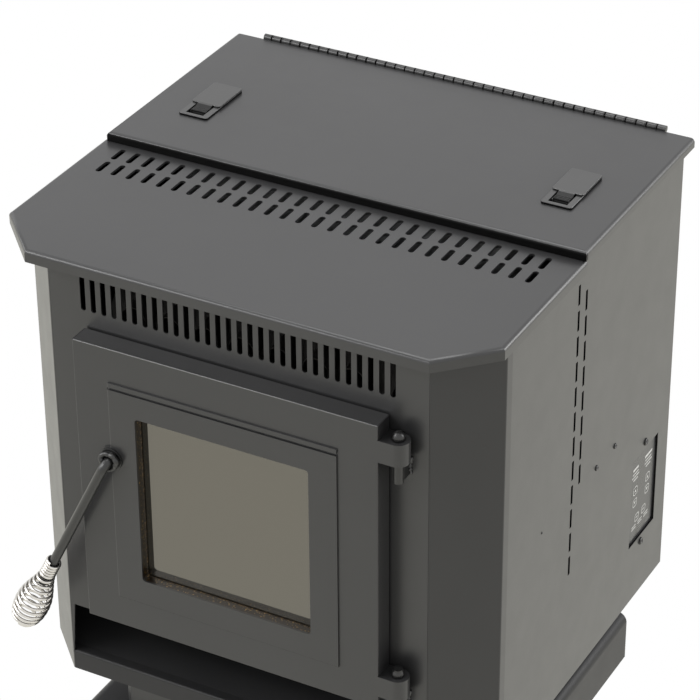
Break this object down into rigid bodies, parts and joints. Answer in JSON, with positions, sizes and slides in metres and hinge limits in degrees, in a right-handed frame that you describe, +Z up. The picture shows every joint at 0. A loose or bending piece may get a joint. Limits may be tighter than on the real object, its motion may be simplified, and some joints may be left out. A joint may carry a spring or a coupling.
{
  "type": "pellet stove",
  "caption": "Freestanding pellet stove: pedestal, cabinet with louvres, glazed door with coil handle, top hopper under a latched lid, and feed and blowers inside.",
  "frame": {"origin": "on the floor, under the middle of the pedestal base", "axes": "+Z up; the front with the glazed door faces -Y; +X to the right seen from the front"},
  "size_m": [0.5948, 0.6313, 0.7332],
  "materials": {
    "stove_black": "satin high-temperature charcoal paint",
    "fire_steel": "dark hot-rolled plate",
    "fire_iron": "cast, matte",
    "galvanised": "zinc-coated sheet",
    "black_pipe": "matte black",
    "bright_steel": "plain steel",
    "nickel_spring": "bright nickel plate",
    "rod_black": "satin black",
    "motor_paint": "semi-gloss",
    "heat_glass": "ceramic glass, slightly mirrored",
    "fibre_rope": "braided fibre",
    "silicone": "matte",
    "black_plastic": "matte"
  },
  "bodies": {
    "stove": {"pedestal_base": "stove_black", "base_stiffener": "stove_black", "pedestal_column": "stove_black", "pedestal_front_panel": "stove_black", "cabinet_floor": "stove_black", "front_lip_shelf": "stove_black", "left_side_panel": "stove_black", "right_side_panel": "stove_black", "front_panel": "stove_black", "rear_panel": "stove_black", "top_plate": "stove_black", "latch_keepers": "stove_black", "hopper_lid_gasket": "silicone", "lid_hinge_fixed_leaf": "stove_black", "lid_hinge_pin": "bright_steel", "door_hinge_pins": "stove_black", "firebox": "fire_steel", "heat_exchanger_tubes": "fire_steel", "baffle_plate": "fire_steel", "ash_cleanout_cover": "fire_steel", "door_catch": "fire_steel", "air_box": "fire_steel", "igniter": "bright_steel", "hopper": "galvanised", "auger_tube": "galvanised", "auger_motor": "motor_paint", "exhaust_blower_housing": "galvanised", "exhaust_blower_motor": "motor_paint", "exhaust_collector": "fire_steel", "exhaust_elbow": "fire_steel", "exhaust_pipe": "black_pipe", "air_intake_pipe": "galvanised", "room_blower_housing": "galvanised", "room_blower_motor": "motor_paint", "control_keypad": "black_plastic", "control_board_box": "galvanised", "power_inlet": "black_plastic", "vacuum_switch": "black_plastic", "high_limit_switch": "bright_steel", "panel_screws": "bright_steel"},
    "door": {"door_frame": "stove_black", "door_rope_gasket": "fibre_rope", "window_gasket": "fibre_rope", "door_glass": "heat_glass", "glass_retainer": "fire_steel", "glass_retainer_screws": "bright_steel", "handle_collar": "stove_black"},
    "door_handle": {"handle_rod": "rod_black", "handle_grip_coil": "nickel_spring", "handle_cam": "fire_steel"},
    "lid": {"hopper_lid": "stove_black", "lid_hinge_moving_leaf": "stove_black", "latch_pans": "stove_black", "latch_pivot_pins": "bright_steel"},
    "left_latch": {"left_latch_lever": "stove_black"},
    "right_latch": {"right_latch_lever": "stove_black"},
    "auger": {"auger_screw": "bright_steel"},
    "exhaust_wheel": {"exhaust_impeller": "bright_steel"},
    "room_wheel": {"room_blower_wheel": "bright_steel"},
    "pot": {"burn_pot": "fire_iron"}
  },
  "joints": [
    {"name": "door_swing", "type": "hinge", "parent": "stove", "child": "door", "pos_m": [0.1997, -0.2643, 0.444], "axis": [0, 0, 1], "range_deg": [0, 110]},
    {"name": "handle_turn", "type": "hinge", "parent": "door", "child": "door_handle", "pos_m": [-0.1405, -0.277, 0.487], "axis": [0, 1, 0], "range_deg": [0, 90]},
    {"name": "lid_lift", "type": "hinge", "parent": "stove", "child": "lid", "pos_m": [0, 0.2708, 0.7292], "axis": [-1, 0, 0], "range_deg": [0, 95]},
    {"name": "left_latch_lift", "type": "hinge", "parent": "lid", "child": "left_latch", "pos_m": [-0.2278, 0.069, 0.7258], "axis": [1, 0, 0], "range_deg": [0, 90]},
    {"name": "right_latch_lift", "type": "hinge", "parent": "lid", "child": "right_latch", "pos_m": [0.2238, 0.069, 0.7258], "axis": [1, 0, 0], "range_deg": [0, 90]},
    {"name": "auger_turn", "type": "hinge", "parent": "stove", "child": "auger", "pos_m": [0, 0.165, 0.354], "axis": [0, -0.8, 0.6], "continuous": true},
    {"name": "exhaust_wheel_turn", "type": "hinge", "parent": "stove", "child": "exhaust_wheel", "pos_m": [0.07, 0, 0.24], "axis": [0, 1, 0], "continuous": true},
    {"name": "room_wheel_turn", "type": "hinge", "parent": "stove", "child": "room_wheel", "pos_m": [-0.174, 0.15, 0.245], "axis": [1, 0, 0], "continuous": true},
    {"name": "burn_pot_lift", "type": "slide", "parent": "stove", "child": "pot", "axis": [0, 0, 1], "range_m": [0, 0.1]}
  ]
}
